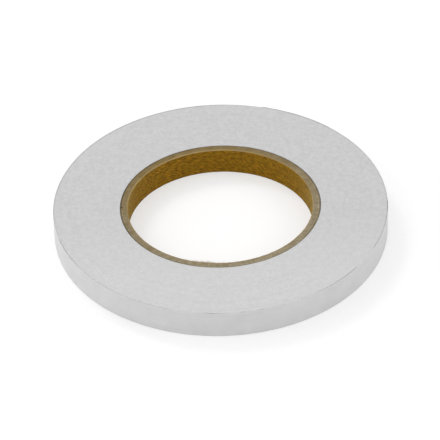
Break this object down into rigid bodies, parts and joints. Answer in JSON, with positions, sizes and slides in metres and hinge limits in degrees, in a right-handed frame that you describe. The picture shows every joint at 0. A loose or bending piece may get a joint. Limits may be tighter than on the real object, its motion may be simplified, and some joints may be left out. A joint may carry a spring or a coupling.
{
  "type": "double-sided tape roll",
  "caption": "Flat roll of double-sided adhesive tape with a pale paper liner on a brown paperboard core; its free end peels off the roll and the liner peels off the tape.",
  "frame": {"origin": "on the roll's axis, in the plane of the face that the roll lies on", "axes": "+Z along the roll's axis, up from that face; -Y towards the viewer of the picture, with the free end of the tape at the back"},
  "size_m": [0.1397, 0.1397, 0.0121],
  "materials": {
    "kraft_ply": "matte",
    "core_board": "matte",
    "tape_edges": "matte",
    "adhesive": "gloss",
    "tissue": "matte",
    "liner_paper": "satin"
  },
  "bodies": {
    "roll": {"core_ply_1": "kraft_ply", "core_ply_2": "core_board", "core_ply_3": "core_board", "core_ply_4": "core_board", "core_ply_5": "core_board", "core_ply_6": "core_board", "wound_turns": "tape_edges", "last_turn_inner_adhesive": "adhesive", "last_turn_tissue": "tissue", "last_turn_outer_adhesive": "adhesive", "last_turn_liner": "liner_paper"},
    "tape_end": {"tail_inner_adhesive": "adhesive", "tail_tissue": "tissue", "tail_outer_adhesive": "adhesive", "tail_liner_held": "liner_paper"},
    "liner_end": {"tail_liner_free": "liner_paper"}
  },
  "joints": [
    {"name": "tape_peel", "type": "hinge", "parent": "roll", "child": "tape_end", "pos_m": [0.05097, 0.04764, 0], "axis": [0, 0, -1], "range_deg": [0, 90]},
    {"name": "liner_peel", "type": "hinge", "parent": "tape_end", "child": "liner_end", "pos_m": [0.04056, 0.05693, 0], "axis": [0, 0, -1], "range_deg": [0, 90]}
  ]
}
